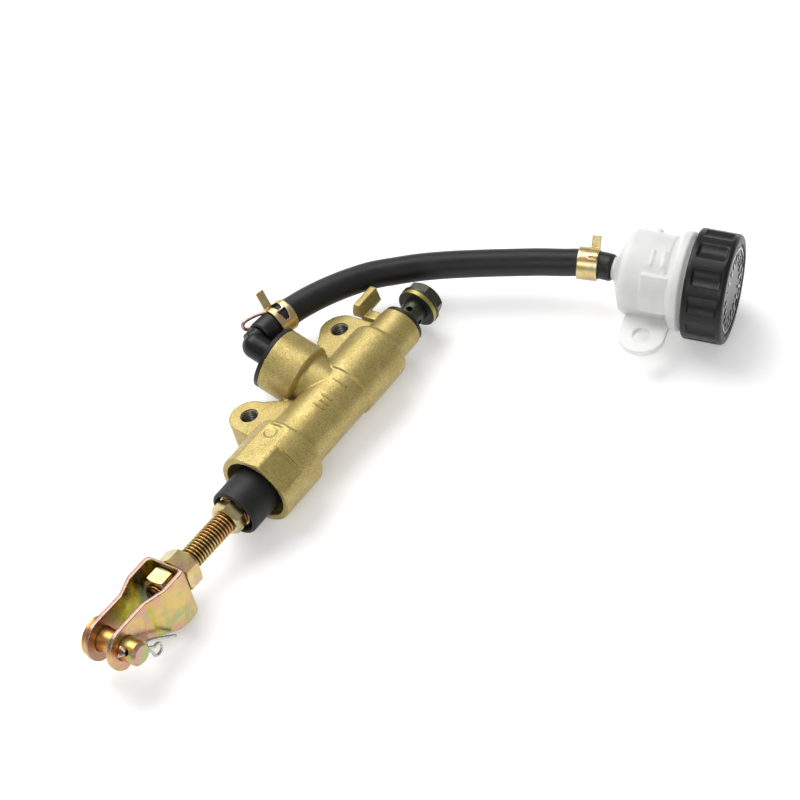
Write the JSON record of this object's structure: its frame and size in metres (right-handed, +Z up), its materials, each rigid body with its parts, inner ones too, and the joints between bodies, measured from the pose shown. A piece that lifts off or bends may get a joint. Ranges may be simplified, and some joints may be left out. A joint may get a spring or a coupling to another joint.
{
  "type": "brake master cylinder",
  "caption": "Hydraulic rear brake master cylinder with threaded push rod, clevis, angled feed elbow, rubber hose and remote fluid reservoir with screw cap.",
  "frame": {"origin": "centre of the brake line seat at the outlet end of the bore", "axes": "+X out of the outlet along the bore, +Y towards the inlet boss and mounting lugs, +Z up with the part lying on a table"},
  "size_m": [0.2507, 0.1345, 0.0391],
  "materials": {
    "cast_body": "gold painted casting, fine satin grain",
    "yellow_zinc": "yellow passivated zinc with pink and green bloom",
    "copper_rod": "bright copper coloured passivated steel",
    "dark_zinc": "dark grey green phosphate",
    "steel": "bright plain steel",
    "piston_alloy": "turned alloy",
    "rubber": "black rubber, dull",
    "bonded_washer": "black bonded seal with a passivated steel rim",
    "black_plastic": "black moulded plastic",
    "cap_plastic": "black moulded plastic, semi gloss",
    "milky_plastic": "translucent milky plastic",
    "disc_metal": "silver relief on black"
  },
  "bodies": {
    "master_cylinder": {"cylinder_body": "cast_body", "stop_washer": "yellow_zinc", "retaining_clip": "steel", "dust_boot": "rubber", "banjo_bolt": "dark_zinc", "seat_washer": "bonded_washer", "head_washer": "bonded_washer", "inlet_cover": "rubber", "inlet_clip": "steel"},
    "piston_assembly": {"piston": "piston_alloy", "primary_cup": "rubber", "secondary_cup": "rubber", "spring_seat": "steel", "return_spring": "steel"},
    "push_rod_assembly": {"push_rod": "copper_rod", "boot_ring": "yellow_zinc", "rod_nut": "yellow_zinc", "lock_nut": "yellow_zinc", "clevis_nut": "yellow_zinc", "clevis": "yellow_zinc"},
    "pin_assembly": {"clevis_pin": "yellow_zinc", "split_pin": "steel"},
    "feed_line": {"inlet_elbow": "black_plastic", "inlet_o_ring": "rubber", "hose": "rubber", "hose_clamp_lower": "yellow_zinc", "hose_clamp_upper": "yellow_zinc", "reservoir_cup": "milky_plastic"},
    "lid_seal": {"diaphragm": "rubber", "diaphragm_plate": "milky_plastic"},
    "lid": {"reservoir_cap": "cap_plastic", "cap_disc": "disc_metal"}
  },
  "joints": [
    {"name": "piston_stroke", "type": "slide", "parent": "master_cylinder", "child": "piston_assembly", "axis": [1, 0, 0], "range_m": [0, 0.01], "stiffness_N_per_m": 600, "springref_m": -0.02, "deforming": ["return_spring"]},
    {"name": "rod_tilt", "type": "hinge", "parent": "piston_assembly", "child": "push_rod_assembly", "pos_m": [-0.062, 0, 0], "axis": [0, 0.9588, -0.284], "range_deg": [-2.6, 0]},
    {"name": "pin_turn", "type": "hinge", "parent": "push_rod_assembly", "child": "pin_assembly", "pos_m": [-0.15448, 0.0006, 0.00201], "axis": [0, 0.9588, -0.284], "continuous": true},
    {"name": "inlet_swivel", "type": "hinge", "parent": "master_cylinder", "child": "feed_line", "pos_m": [-0.037, 0, 0], "axis": [0, 0.9945, 0.1045], "range_deg": [-100, 0]},
    {"name": "cap_lift", "type": "slide", "parent": "feed_line", "child": "lid_seal", "axis": [0.2829, -0.9552, 0.0872], "range_m": [0, 0.006]},
    {"name": "cap_turn", "type": "hinge", "parent": "lid_seal", "child": "lid", "pos_m": [0.0591, -0.0465, 0.0035], "axis": [0.2829, -0.9552, 0.0872], "range_deg": [0, 720]}
  ],
  "couplings": [
    {"joint": "cap_lift", "follows": "cap_turn", "m_per_rad": 0.00047746}
  ]
}
